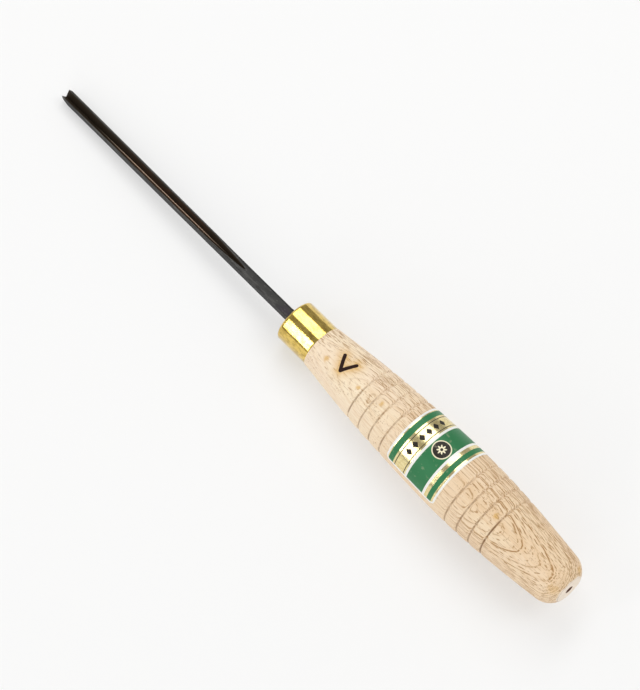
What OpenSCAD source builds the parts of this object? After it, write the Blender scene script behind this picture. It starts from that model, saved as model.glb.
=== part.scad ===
// Carving parting tool: a V-shaped blade forged in one piece with its shank, shoulder
// and tang, driven into a turned wooden handle that a tube ferrule keeps from splitting.
// The tool's axis is X, and the blade points to +X. The V opens to +Z.
// X = 0 is the handle's shoulder, where the back end of the ferrule seats.

/* [Handle] */
// Length of the wood from its shoulder to the butt
handle_len = 121; // [110:1:140]
// How far the wood stands above the ferrule at the shoulder
shoulder_proud = 0.1; // [0:0.05:0.6]
// Diameter at the front of the grip
grip_d = 23.7; // [20:0.1:25]
// Place of that diameter behind the shoulder
grip_at = 36; // [28:1:45]
// Largest diameter, at the belly
belly_d = 26.2; // [25:0.1:32]
// Distance of the belly from the butt
belly_from_butt = 50; // [44:1:60]
// Diameter where the butt begins to round off
tail_d = 19.7; // [16:0.1:23]
// Length of the rounded butt
tail_len = 6.2; // [4:0.1:8]
// Diameter of the flat on the butt
butt_flat_d = 10.8; // [8:0.1:13]
// Diameter of the hole that the turning centre left in the butt
centre_hole_d = 2.4; // [1.5:0.1:4]
// Depth of that hole
centre_hole_depth = 6; // [3:0.5:12]

/* [Grip rings] */
// Number of rings in the front group and in the rear group
ring_count = 4; // [1:1:5]
// Distance from ring to ring
ring_pitch = 5.5; // [4:0.1:6.5]
// Width of a ring at the surface of the wood
ring_w = 0.8; // [0.6:0.1:2]
// Depth of a ring
ring_depth = 0.4; // [0.2:0.05:0.7]
// Place of the first front ring behind the shoulder
front_rings_at = 24.5; // [18:0.5:30]
// Distance of the last rear ring from the butt
rear_rings_from_butt = 30.3; // [20:0.1:34]

/* [Ferrule] */
// Length of the ferrule
ferrule_len = 14; // [10:0.5:20]
// Outer diameter of the ferrule
ferrule_od = 16.5; // [14:0.1:19]
// Wall of the ferrule's tube
ferrule_wall = 1; // [0.6:0.05:1.5]
// Rounding of the ferrule's front rim
rim_round = 0.8; // [0.2:0.05:1.5]
// Clearance between the ferrule and the tenon inside it, on the radius
ferrule_fit = 0.05; // [0.02:0.01:0.15]
// How far the tenon's end stops short of the front rim
tenon_recess = 0.5; // [0.2:0.1:2]

/* [Blade] */
// Length from the ferrule's front rim to the cutting edge
blade_len = 119; // [90:1:150]
// Width of the shank
shank_w = 3.7; // [3:0.1:5]
// Height of the shank
shank_h = 3.9; // [3.4:0.1:5]
// Chamfer of the shank's lower corners
shank_chamfer = 0.4; // [0.2:0.05:0.8]
// Chamfer that breaks the blade's upper edges
edge_break = 0.15; // [0.05:0.05:0.25]
// Width across both wings at the cutting edge
tip_w = 4.6; // [4.2:0.1:6]
// Height of the upright part of each side at the cutting edge
tip_side_h = 1.65; // [0.8:0.05:2.4]
// Width of the flat along the keel at the cutting edge
keel_w = 0.5; // [0.3:0.1:1.2]

/* [V groove] */
// Angle of the V
v_angle = 60; // [55:1:75]
// Distance from the ferrule's rim to the point where the groove begins
groove_start = 25; // [15:1:40]
// Length over which the groove deepens
groove_ramp = 17; // [10:1:30]
// Width of the groove at the end of that ramp
groove_back_w = 3; // [2.4:0.05:3.2]
// Width of the groove at the cutting edge
groove_tip_w = 3.45; // [3:0.05:3.6]
// Angle of the bevel ground on the outside of each wing
bevel_angle = 20; // [15:1:30]
// Thickness left at the cutting edge
edge_thickness = 0.03; // [0.01:0.01:0.1]

/* [Shoulder and tang] */
// Width and height of the forged shoulder where it bears on the tenon
shoulder_w = 5.4; // [5:0.1:8]
// Length over which the shoulder flares out of the shank
flare_len = 4; // [2:0.5:12]
// Length of the tang from the shoulder to its point
tang_len = 62; // [40:1:80]
// Width of the square tang below the shoulder
tang_w = 4; // [3.2:0.1:4.6]
// Width of the tang at its point
tang_point_w = 1.6; // [1:0.1:2.4]
// Chamfer along the tang's corners
tang_chamfer = 0.3; // [0.1:0.05:0.4]
// Clearance between the tang's corners and the tapered bore
tang_fit = 0.05; // [0.02:0.01:0.15]
// Depth of the bore past the tang's point
bore_spare = 3; // [1:0.5:8]

/* [Label] */
// Length of the label along the handle
label_len = 23.8; // [14:0.2:28]
// How far round the handle the label reaches, in degrees
label_arc = 160; // [60:5:200]
// Place of the label's front edge behind the shoulder
label_at = 45; // [42:0.5:50]
// Thickness of the label
label_thickness = 0.1; // [0.05:0.01:0.3]
// Film of glue between the label and the wood
label_glue = 0.02; // [0.01:0.01:0.05]

/* [Hidden] */
$fn = 96;
// Number of steps along the wood's outline, round the butt, along the flare, along the
// groove's ramp and along the label
OUTLINE_STEPS = 40;
BUTT_STEPS = 16;
FLARE_STEPS = 10;
RAMP_STEPS = 8;
LABEL_STEPS = 24;
// How far behind the groove's start its cutter is clear of the blade
GROOVE_LEAD = 0.1;
// How far a cutting solid reaches past the faces that it cuts
OVERCUT = 1;

// Places along X
rim_x = ferrule_len;
seat_x = rim_x - tenon_recess;
tip_x = rim_x + blade_len;
flare_end_x = seat_x + flare_len;
groove_x = rim_x + groove_start;
ramp_end_x = groove_x + groove_ramp;
tang_end_x = seat_x - tang_len;

// Places behind the shoulder, measured backwards
belly_at = handle_len - belly_from_butt;
tail_at = handle_len - tail_len;
rear_rings_at = handle_len - rear_rings_from_butt - (ring_count - 1) * ring_pitch;

ferrule_r = ferrule_od / 2;
ferrule_bore_r = ferrule_r - ferrule_wall;
tenon_r = ferrule_bore_r - ferrule_fit;
rim_r = min(rim_round, 0.9 * ferrule_wall);

// Knots of the wood's outline: distance behind the shoulder and radius
knots = [
    [0, ferrule_r + shoulder_proud],
    [grip_at, grip_d / 2],
    [belly_at, belly_d / 2],
    [tail_at, tail_d / 2],
];
LAST = len(knots) - 1;

function secant(i) = (knots[i + 1].y - knots[i].y) / (knots[i + 1].x - knots[i].x);

// Slope of the outline at a knot between two stretches: level at a crest, and otherwise
// the harmonic mean of their slopes, which keeps the curve from overshooting
function inner_slope(i) =
    let (a = secant(i - 1), b = secant(i))
    a * b <= 0 ? 0 : 2 * a * b / (a + b);

function slope(i) =
    i == 0 ? (3 * secant(0) - inner_slope(1)) / 2
    : i == LAST ? (3 * secant(LAST - 1) - inner_slope(LAST - 1)) / 2
    : inner_slope(i);

// Cubic curve from one knot to the next
function stretch_r(i, d) =
    let (h = knots[i + 1].x - knots[i].x, t = (d - knots[i].x) / h)
    (1 + 2 * t) * pow(1 - t, 2) * knots[i].y
    + t * pow(1 - t, 2) * h * slope(i)
    + t * t * (3 - 2 * t) * knots[i + 1].y
    + t * t * (t - 1) * h * slope(i + 1);

// Radius of the wood at a distance behind the shoulder, in front of the rounded butt
function wood_r(d) =
    d < knots[1].x ? stretch_r(0, d)
    : d < knots[2].x ? stretch_r(1, d)
    : stretch_r(2, d);

// The butt's arc leaves the outline at the tail without a corner and ends on the flat's edge
butt_start = knots[LAST];
butt_end = [handle_len, butt_flat_d / 2];
butt_chord = butt_end - butt_start;
tail_angle = atan(slope(LAST));
butt_inward = [sin(tail_angle), -cos(tail_angle)];
butt_r = (butt_chord * butt_chord) / (2 * (butt_chord * butt_inward));
butt_centre = butt_start + butt_r * butt_inward;

function bearing(p) = atan2(p.y - butt_centre.y, p.x - butt_centre.x);

butt_arc = [
    for (i = [1:BUTT_STEPS - 1])
        let (a = bearing(butt_start) + (bearing(butt_end) - bearing(butt_start)) * i / BUTT_STEPS)
        butt_centre + butt_r * [cos(a), sin(a)]
];

// Half outline of the wood as [radius, distance behind the shoulder], with its tenon
wood_outline = concat(
    [[0, -seat_x], [tenon_r, -seat_x], [tenon_r, 0]],
    [for (i = [0:OUTLINE_STEPS]) let (d = tail_at * i / OUTLINE_STEPS) [wood_r(d), d]],
    [for (p = butt_arc) [p.y, p.x]],
    [[butt_end.y, butt_end.x], [0, handle_len]]
);

// Round cutter that leaves a ring of the stated width and depth
ring_cutter_r = (pow(ring_w / 2, 2) + pow(ring_depth, 2)) / (2 * ring_depth);

ring_places = concat(
    [for (i = [0:ring_count - 1]) front_rings_at + i * ring_pitch],
    [for (i = [0:ring_count - 1]) rear_rings_at + i * ring_pitch]
);

// Distance from the axis to a corner of the square tang, with its chamfer
function corner_r(w) = norm([w / 2, w / 2 - tang_chamfer]);

bore_mouth_r = corner_r(tang_w) + tang_fit;
bore_end_r = corner_r(tang_point_w) + tang_fit;

blade_top = shank_h / 2;
blade_bottom = -shank_h / 2;
half_v = v_angle / 2;
groove_back_depth = groove_back_w / 2 / tan(half_v);
groove_tip_depth = groove_tip_w / 2 / tan(half_v);

// Turns a shape that stands along Z so that it lies along the handle, from the shoulder back
module along_handle() {
    rotate([0, -90, 0]) children();
}

// Turns a shape that stands along Z so that it lies along the blade, from the shoulder forward
module along_blade() {
    rotate([0, 90, 0]) children();
}

// Solid through a row of rings with equal numbers of points, each clockwise seen from +X
module skin(rings) {
    n = len(rings[0]);
    m = len(rings);
    polyhedron(
        points = [for (ring = rings) each ring],
        faces = concat(
            [[for (j = [0:n - 1]) (m - 1) * n + j]],
            [[for (j = [n - 1:-1:0]) j]],
            [
                for (i = [0:m - 2], j = [0:n - 1])
                    let (a = i * n + j, b = i * n + (j + 1) % n)
                    each [[a, b, b + n], [a, b + n, a + n]]
            ]
        )
    );
}

// Ring of the forged bar: half width, top and bottom, the lower end of its upright sides,
// half the width of its keel, and the chamfer of its upper edges
function bar_ring(x, half_w, top, bottom, side_end, half_keel, chamfer) = [
    [x, half_w - chamfer, top],
    [x, half_w, top - chamfer],
    [x, half_w, side_end],
    [x, half_keel, bottom],
    [x, -half_keel, bottom],
    [x, -half_w, side_end],
    [x, -half_w, top - chamfer],
    [x, chamfer - half_w, top],
];

function tang_ring(x, w) =
    bar_ring(x, w / 2, w / 2, -w / 2, tang_chamfer - w / 2, w / 2 - tang_chamfer, tang_chamfer);

// Ring of the shank, grown on every side where the shoulder flares
function shank_ring(x, grow) =
    bar_ring(
        x,
        shank_w / 2 + grow,
        blade_top + grow,
        blade_bottom - grow,
        blade_bottom - grow + shank_chamfer,
        shank_w / 2 + grow - shank_chamfer,
        edge_break
    );

tip_ring = bar_ring(
    tip_x, tip_w / 2, blade_top, blade_bottom, blade_top - tip_side_h, keel_w / 2, edge_break
);

// The flare is a hollow arc that meets the shank without a corner
flare_rise = (shoulder_w - shank_w) / 2;
flare_r = (pow(flare_len, 2) + pow(flare_rise, 2)) / (2 * flare_rise);
function flare(x) = flare_r - sqrt(pow(flare_r, 2) - pow(flare_end_x - x, 2));

bar_rings = concat(
    [tang_ring(tang_end_x, tang_point_w), tang_ring(seat_x, tang_w)],
    [
        for (i = [0:FLARE_STEPS])
            let (x = seat_x + flare_len * i / FLARE_STEPS)
            shank_ring(x, flare(x))
    ],
    [shank_ring(groove_x, 0), tip_ring]
);

// Ring of the V cutter at a depth below the top of the blade
function groove_ring(x, depth) =
    let (half_w = (depth + OVERCUT) * tan(half_v), top = blade_top + OVERCUT)
    [[x, half_w, top], [x, 0, blade_top - depth], [x, -half_w, top]];

// The cutter starts clear above the blade and deepens along a curve that grows ever flatter,
// so that the groove has a short rounded end
groove_slope = (groove_tip_depth - groove_back_depth) / (tip_x - ramp_end_x);
groove_rings = concat(
    [groove_ring(groove_x - GROOVE_LEAD, -OVERCUT / 2)],
    [
        for (i = [1:RAMP_STEPS])
            let (share = i / RAMP_STEPS)
            groove_ring(groove_x + groove_ramp * pow(share, 2), groove_back_depth * share)
    ],
    [groove_ring(tip_x + OVERCUT, groove_tip_depth + groove_slope * OVERCUT)]
);

// Block that grinds one wing's outer bevel down to the cutting edge
module bevel_cutter() {
    block = 4 * (tip_w + shank_h);
    translate([tip_x, 0, blade_top - groove_tip_depth])
        rotate([-half_v, 0, 0])
            translate([0, edge_thickness, 0])
                rotate([0, 0, -bevel_angle])
                    translate([-block / 2, 0, -block / 2])
                        cube(block);
}

module handle() {
    color("burlywood")
        difference() {
            along_handle() rotate_extrude() polygon(wood_outline);
            along_handle()
                for (d = ring_places)
                    rotate_extrude()
                        translate([wood_r(d) - ring_depth + ring_cutter_r, d])
                            circle(ring_cutter_r);
            // Tapered bore for the tang, with a little room past its point
            along_handle()
                translate([0, 0, -seat_x])
                    cylinder(h = tang_len, r1 = bore_mouth_r, r2 = bore_end_r);
            along_handle()
                translate([0, 0, tang_len - seat_x])
                    cylinder(h = bore_spare, r = bore_end_r);
            along_handle()
                translate([0, 0, handle_len - centre_hole_depth])
                    cylinder(h = centre_hole_depth + OVERCUT, d = centre_hole_d);
        }
}

module ferrule() {
    color("gold")
        along_blade()
            rotate_extrude()
                intersection() {
                    translate([ferrule_bore_r, 0]) square([ferrule_wall, ferrule_len]);
                    union() {
                        square([ferrule_r, ferrule_len - rim_r]);
                        square([ferrule_r - rim_r, ferrule_len]);
                        translate([ferrule_r - rim_r, ferrule_len - rim_r]) circle(rim_r);
                    }
                }
}

module blade() {
    color("dimgray")
        difference() {
            skin(bar_rings);
            skin(groove_rings);
            bevel_cutter();
            mirror([0, 1, 0]) bevel_cutter();
        }
}

module label() {
    label_places = [for (i = [0:LABEL_STEPS]) label_at + label_len * i / LABEL_STEPS];
    inner = [for (d = label_places) [wood_r(d) + label_glue, d]];
    outer = [for (p = inner) p + [label_thickness, 0]];
    backward = [for (i = [LABEL_STEPS:-1:0]) inner[i]];
    color("seagreen")
        along_handle()
            rotate([0, 0, -label_arc / 2])
                rotate_extrude(angle = label_arc)
                    polygon(concat(outer, backward));
}

handle();
ferrule();
blade();
label();
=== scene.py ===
import math

import bmesh
import bpy
import numpy as np
from mathutils import Matrix, Vector, noise


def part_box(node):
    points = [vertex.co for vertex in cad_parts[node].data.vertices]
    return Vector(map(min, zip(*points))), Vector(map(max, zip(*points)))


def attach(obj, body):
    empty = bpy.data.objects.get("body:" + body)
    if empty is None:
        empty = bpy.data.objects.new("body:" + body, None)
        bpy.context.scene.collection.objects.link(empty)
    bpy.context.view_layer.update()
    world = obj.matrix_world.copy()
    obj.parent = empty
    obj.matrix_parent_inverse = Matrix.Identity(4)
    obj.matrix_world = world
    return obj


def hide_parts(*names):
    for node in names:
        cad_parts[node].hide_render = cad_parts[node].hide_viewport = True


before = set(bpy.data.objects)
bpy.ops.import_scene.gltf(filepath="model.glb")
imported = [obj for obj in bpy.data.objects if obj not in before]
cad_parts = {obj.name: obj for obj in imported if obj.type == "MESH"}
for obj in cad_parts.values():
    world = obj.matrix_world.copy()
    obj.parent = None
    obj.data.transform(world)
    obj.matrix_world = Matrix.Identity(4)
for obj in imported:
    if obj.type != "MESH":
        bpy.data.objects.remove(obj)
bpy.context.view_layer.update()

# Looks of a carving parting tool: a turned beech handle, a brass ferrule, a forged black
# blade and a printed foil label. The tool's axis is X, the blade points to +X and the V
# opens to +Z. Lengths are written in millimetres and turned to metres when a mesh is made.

MM = 0.001

# Places and sizes that come from the frame
handle_lo, handle_hi = (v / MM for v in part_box("handle"))
_, ferrule_hi = (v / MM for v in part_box("ferrule"))
blade_lo, blade_hi = (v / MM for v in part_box("blade"))
label_lo, label_hi = (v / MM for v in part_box("label"))
butt_x = handle_lo.x
seat_x = handle_hi.x
belly_r = handle_hi.y
rim_x = ferrule_hi.x
ferrule_r = ferrule_hi.y
tip_x = blade_hi.x
tang_end_x = blade_lo.x
shoulder_half = blade_hi.y
label_len = label_hi.x - label_lo.x

# Handle: the wood's outline, the butt with its hole, the tenon, the bore and the turned rings
SHOULDER_PROUD = 0.1
GRIP_AT = 36
GRIP_R = 11.85
BELLY_FROM_BUTT = 50
TAIL_R = 9.85
TAIL_LEN = 6.2
BUTT_FLAT_R = 5.4
CENTRE_HOLE_R = 1.2
CENTRE_HOLE_DEPTH = 6
CENTRE_CONE = 1.6
BUTT_EDGE = 0.1
BUTT_STEPS = 24
BUTT_SHEEN_REACH = 1.8
BUTT_EDGE_DARK = 0.7
HOLE_LIP = 0.35
HOLE_LIP_DEPTH = 0.3
HOLE_LIP_EDGE = 0.06
TENON_R = 7.2
TENON_CHAMFER = 0.2
BORE_MOUTH_R = 2.67
BORE_END_R = 0.99
BORE_SPARE = 3
RING_COUNT = 4
RING_PITCH = 5.5
RING_W = 0.8
RING_DEPTH = 0.4
RING_SHOULDER = 1.3
RING_SHOULDER_DROP = 0.4
FRONT_RINGS_AT = 24.5
REAR_RINGS_FROM_BUTT = 30.3

# Burnt mark on the handle: a V-shaped sign of the tool's profile
MARK_AT = 13.6
MARK_OFF = 1.6
MARK_W = 5.8
MARK_H = 5.1
MARK_STROKE = 1.25
MARK_DEPTH = 0.16
SCORCH_REACH = 2.4
# Distances from the middle of a stroke where its hollow and its burn begin and are full
PRESS_FROM = 0.62 * MARK_STROKE
PRESS_FULL = 0.25 * MARK_STROKE
BURN_FROM = 0.8 * MARK_STROKE
BURN_FULL = 0.2 * MARK_STROKE
# How far from the mark its scorch is worked out, along the handle and as an angle round it
SCORCH_ZONE = 8
SCORCH_ZONE_TURN = 1.2
FAR_FROM_MARK = 99.0

# Ferrule
FERRULE_WALL = 1.0
RIM_ROUND = 0.8
BACK_ROUND = 0.15
MOUTH_BREAK = 0.08
STRAIGHT_FROM = 0.8
STRAIGHT_SHORT = 0.4

# Blade
SHANK_HALF_W = 1.85
SHANK_HALF_H = 1.95
SHANK_CHAMFER = 0.4
EDGE_ROUND = 0.3
LIP_ROUND = 0.05
SIDE_ROUND = 0.2
VALLEY_ROUND = 0.10
TIP_HALF_W = 2.3
TIP_SIDE_H = 1.65
TIP_HALF_KEEL = 0.25
FLARE_LEN = 4
TANG_HALF_W = 2.0
TANG_POINT_HALF_W = 0.8
TANG_CHAMFER = 0.3
TANG_ROUND = 0.25
GROOVE_START = 25
GROOVE_RAMP = 17
GROOVE_BACK_HALF_W = 1.5
GROOVE_TIP_HALF_W = 1.725
HALF_V = math.radians(30)
BEVEL_ANGLE = math.radians(20)
EDGE_THICKNESS = 0.03
LEAST_LIP = 0.03
FORGE_WAVE = 0.02
FORGE_LEAST_R = 0.5
FORGE_ALONG = 0.22
FORGE_ACROSS = 0.8

# Label
LABEL_HALF_ARC = math.radians(80)
LABEL_CORNER = 2.2
LABEL_GLUE = 0.02
LABEL_THICKNESS = 0.1

# Camera, as the photograph was taken: where the view is centred, how the tool is turned to
# it, and the picture's size and scale
VIEW_TARGET = Vector((1.0, 0, 0))
VIEW_DISTANCE = 1300
VIEW_TILT = math.radians(17.5)
VIEW_SIDE = math.radians(16)
VIEW_TURN = math.radians(44.5)
PICTURE_H = 690
PX_PER_MM = 2.9165
SENSOR_MM = 36
CLIP_NEAR = 50
CLIP_FAR = 50000


# Materials: a field is a value or colour that the nodes work out at each point

class Field:
    """A socket of a node tree that takes part in sums."""

    def __init__(self, tree, socket):
        self.tree = tree
        self.socket = socket

    def math(self, operation, *others):
        node = self.tree.nodes.new("ShaderNodeMath")
        node.operation = operation
        for socket, value in zip(node.inputs, (self, *others)):
            plug(socket, value)
        return Field(self.tree, node.outputs[0])

    def __add__(self, other):
        return self.math("ADD", other)

    def __sub__(self, other):
        return self.math("SUBTRACT", other)

    def __mul__(self, other):
        return self.math("MULTIPLY", other)

    def __truediv__(self, other):
        return self.math("DIVIDE", other)

    def less(self, other):
        return self.math("MINIMUM", other)

    def more(self, other):
        return self.math("MAXIMUM", other)

    def size(self):
        return self.math("ABSOLUTE")

    def part(self):
        return self.math("FRACT")

    def whole(self):
        return self.math("FLOOR")

    def step(self, low, high):
        """0 below low and 1 above high, with a smooth rise between; low may be the greater."""
        node = self.tree.nodes.new("ShaderNodeMapRange")
        node.interpolation_type = "SMOOTHSTEP"
        plug(node.inputs["Value"], self)
        rising = low < high
        node.inputs["From Min"].default_value = low if rising else high
        node.inputs["From Max"].default_value = high if rising else low
        node.inputs["To Min"].default_value = 0.0 if rising else 1.0
        node.inputs["To Max"].default_value = 1.0 if rising else 0.0
        return Field(self.tree, node.outputs["Result"])


def plug(socket, value):
    """Set a socket to a constant, or link it to a field."""
    if isinstance(value, Field):
        value.tree.links.new(value.socket, socket)
    elif isinstance(value, (tuple, list)) and len(value) == 3 and socket.type == "RGBA":
        socket.default_value = (*value, 1.0)
    else:
        socket.default_value = value


# Sockets of a Mix node that mixes colours
MIX_SHARE, MIX_A, MIX_B, MIX_RESULT = 0, 6, 7, 2


class Finish:
    """A material with one Principled shader, and the textures that feed it."""

    def __init__(self, name):
        self.material = bpy.data.materials.new(name)
        self.material.use_nodes = True
        self.tree = self.material.node_tree
        self.shader = self.tree.nodes["Principled BSDF"]
        coords = self.tree.nodes.new("ShaderNodeTexCoord")
        parts = self.tree.nodes.new("ShaderNodeSeparateXYZ")
        self.tree.links.new(coords.outputs["Object"], parts.inputs[0])
        self.x, self.y, self.z = (Field(self.tree, s) * (1 / MM) for s in parts.outputs)

    def vector(self, x, y, z):
        node = self.tree.nodes.new("ShaderNodeCombineXYZ")
        for socket, value in zip(node.inputs, (x, y, z)):
            plug(socket, value)
        return Field(self.tree, node.outputs[0])

    def stretched(self, along, across):
        """Place in cells: so many cells a millimetre along the tool and across it."""
        return self.vector(self.x * along, self.y * across, self.z * across)

    def noise(self, place, detail, roughness=0.5):
        node = self.tree.nodes.new("ShaderNodeTexNoise")
        plug(node.inputs["Vector"], place)
        node.inputs["Scale"].default_value = 1.0
        node.inputs["Detail"].default_value = detail
        node.inputs["Roughness"].default_value = roughness
        return Field(self.tree, node.outputs["Fac"])

    def cells(self, place):
        """Distance to the nearest of scattered points, and a random number for that point."""
        node = self.tree.nodes.new("ShaderNodeTexVoronoi")
        plug(node.inputs["Vector"], place)
        node.inputs["Scale"].default_value = 1.0
        split = self.tree.nodes.new("ShaderNodeSeparateColor")
        self.tree.links.new(node.outputs["Color"], split.inputs[0])
        return Field(self.tree, node.outputs["Distance"]), Field(self.tree, split.outputs[0])

    def apart(self, point):
        """Distance from a point, in millimetres."""
        node = self.tree.nodes.new("ShaderNodeVectorMath")
        node.operation = "DISTANCE"
        plug(node.inputs[0], self.vector(self.x, self.y, self.z))
        node.inputs[1].default_value = point
        return Field(self.tree, node.outputs["Value"])

    def random(self, number):
        node = self.tree.nodes.new("ShaderNodeTexWhiteNoise")
        node.noise_dimensions = "1D"
        plug(node.inputs["W"], number)
        return Field(self.tree, node.outputs["Value"])

    def seen(self):
        """1 for rays from the camera and for mirrored or transmitted ones, and 0 for the rest."""
        node = self.tree.nodes.new("ShaderNodeLightPath")
        camera = Field(self.tree, node.outputs["Is Camera Ray"])
        glossy = Field(self.tree, node.outputs["Is Glossy Ray"])
        return camera.more(glossy).more(Field(self.tree, node.outputs["Is Transmission Ray"]))

    def attribute(self, name):
        node = self.tree.nodes.new("ShaderNodeAttribute")
        node.attribute_name = name
        return Field(self.tree, node.outputs["Fac"])

    def mix(self, share, a, b):
        """Colour a, with so large a share of colour b."""
        node = self.tree.nodes.new("ShaderNodeMix")
        node.data_type = "RGBA"
        plug(node.inputs[MIX_SHARE], share)
        plug(node.inputs[MIX_A], a)
        plug(node.inputs[MIX_B], b)
        return Field(self.tree, node.outputs[MIX_RESULT])

    def bump(self, height, depth_mm, strength):
        node = self.tree.nodes.new("ShaderNodeBump")
        node.inputs["Strength"].default_value = strength
        node.inputs["Distance"].default_value = depth_mm * MM
        plug(node.inputs["Height"], height)
        self.tree.links.new(node.outputs["Normal"], self.shader.inputs["Normal"])

    def set(self, **values):
        for name, value in values.items():
            plug(self.shader.inputs[name.replace("_", " ")], value)


# Beech: pale layers less than a millimetre thick that lean towards the near side and bend
# round the heart of the tree below the handle
BEECH_PALE = (0.93, 0.79, 0.59)
BEECH_PINK = (0.91, 0.75, 0.575)
BEECH_TAN = (0.78, 0.57, 0.36)
BEECH_LINE = (0.34, 0.16, 0.035)
BEECH_FLECK = (0.36, 0.18, 0.05)
BEECH_END_SHEEN = (0.91, 0.81, 0.70)
RING_DARK = (0.18, 0.08, 0.02)
HOLE_SHADE_BROWN = (0.12, 0.05, 0.03)
SCORCH_TAN = (0.70, 0.42, 0.12)
BURN_BROWN = (0.022, 0.007, 0.005)
LAYER_MM = 0.72
LAYER_LEAN = math.radians(24)
LAYER_BEND_R = 50
LAYER_DRIFT = 1.6
LAYER_RIPPLE = 0.22
LINE_HALF_MM = 0.11
FINE_LINES = 2.3
GRAIN_DEPTH = 0.035

# Where the wood changes, from not at all to fully: along the handle by x, round it by the
# place sideways along the layers, and behind it and in the rings by y and z
REAR_X = (-58.0, -92.0)
TAN_X = (-16.0, -60.0)
FAR_FLANK = (-1.0, -8.0)
NEAR_FLANK = (2.0, 7.0)
TOP_TAN = (5.0, -3.0)
REAR_TOP_TAN = (3.0, -1.0)
BEHIND_Y = (0.0, -4.0)
BEHIND_Z = (7.0, 1.0)
SHADE_SIDE_Y = (-5.0, 7.0)

# Stains, as distance behind the shoulder, arc from the top to the near side, reach and strength
STAINS = (
    (6.8, 4.3, 1.5, 0.75),
    (22.7, 4.3, 1.2, 0.75),
    (32.8, 2.8, 1.4, 0.75),
    (88.5, 3.2, 1.6, 0.75),
    (118.8, 6.0, 3.2, 0.4),
    (119.3, -7.4, 2.3, 0.6),
)


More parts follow.
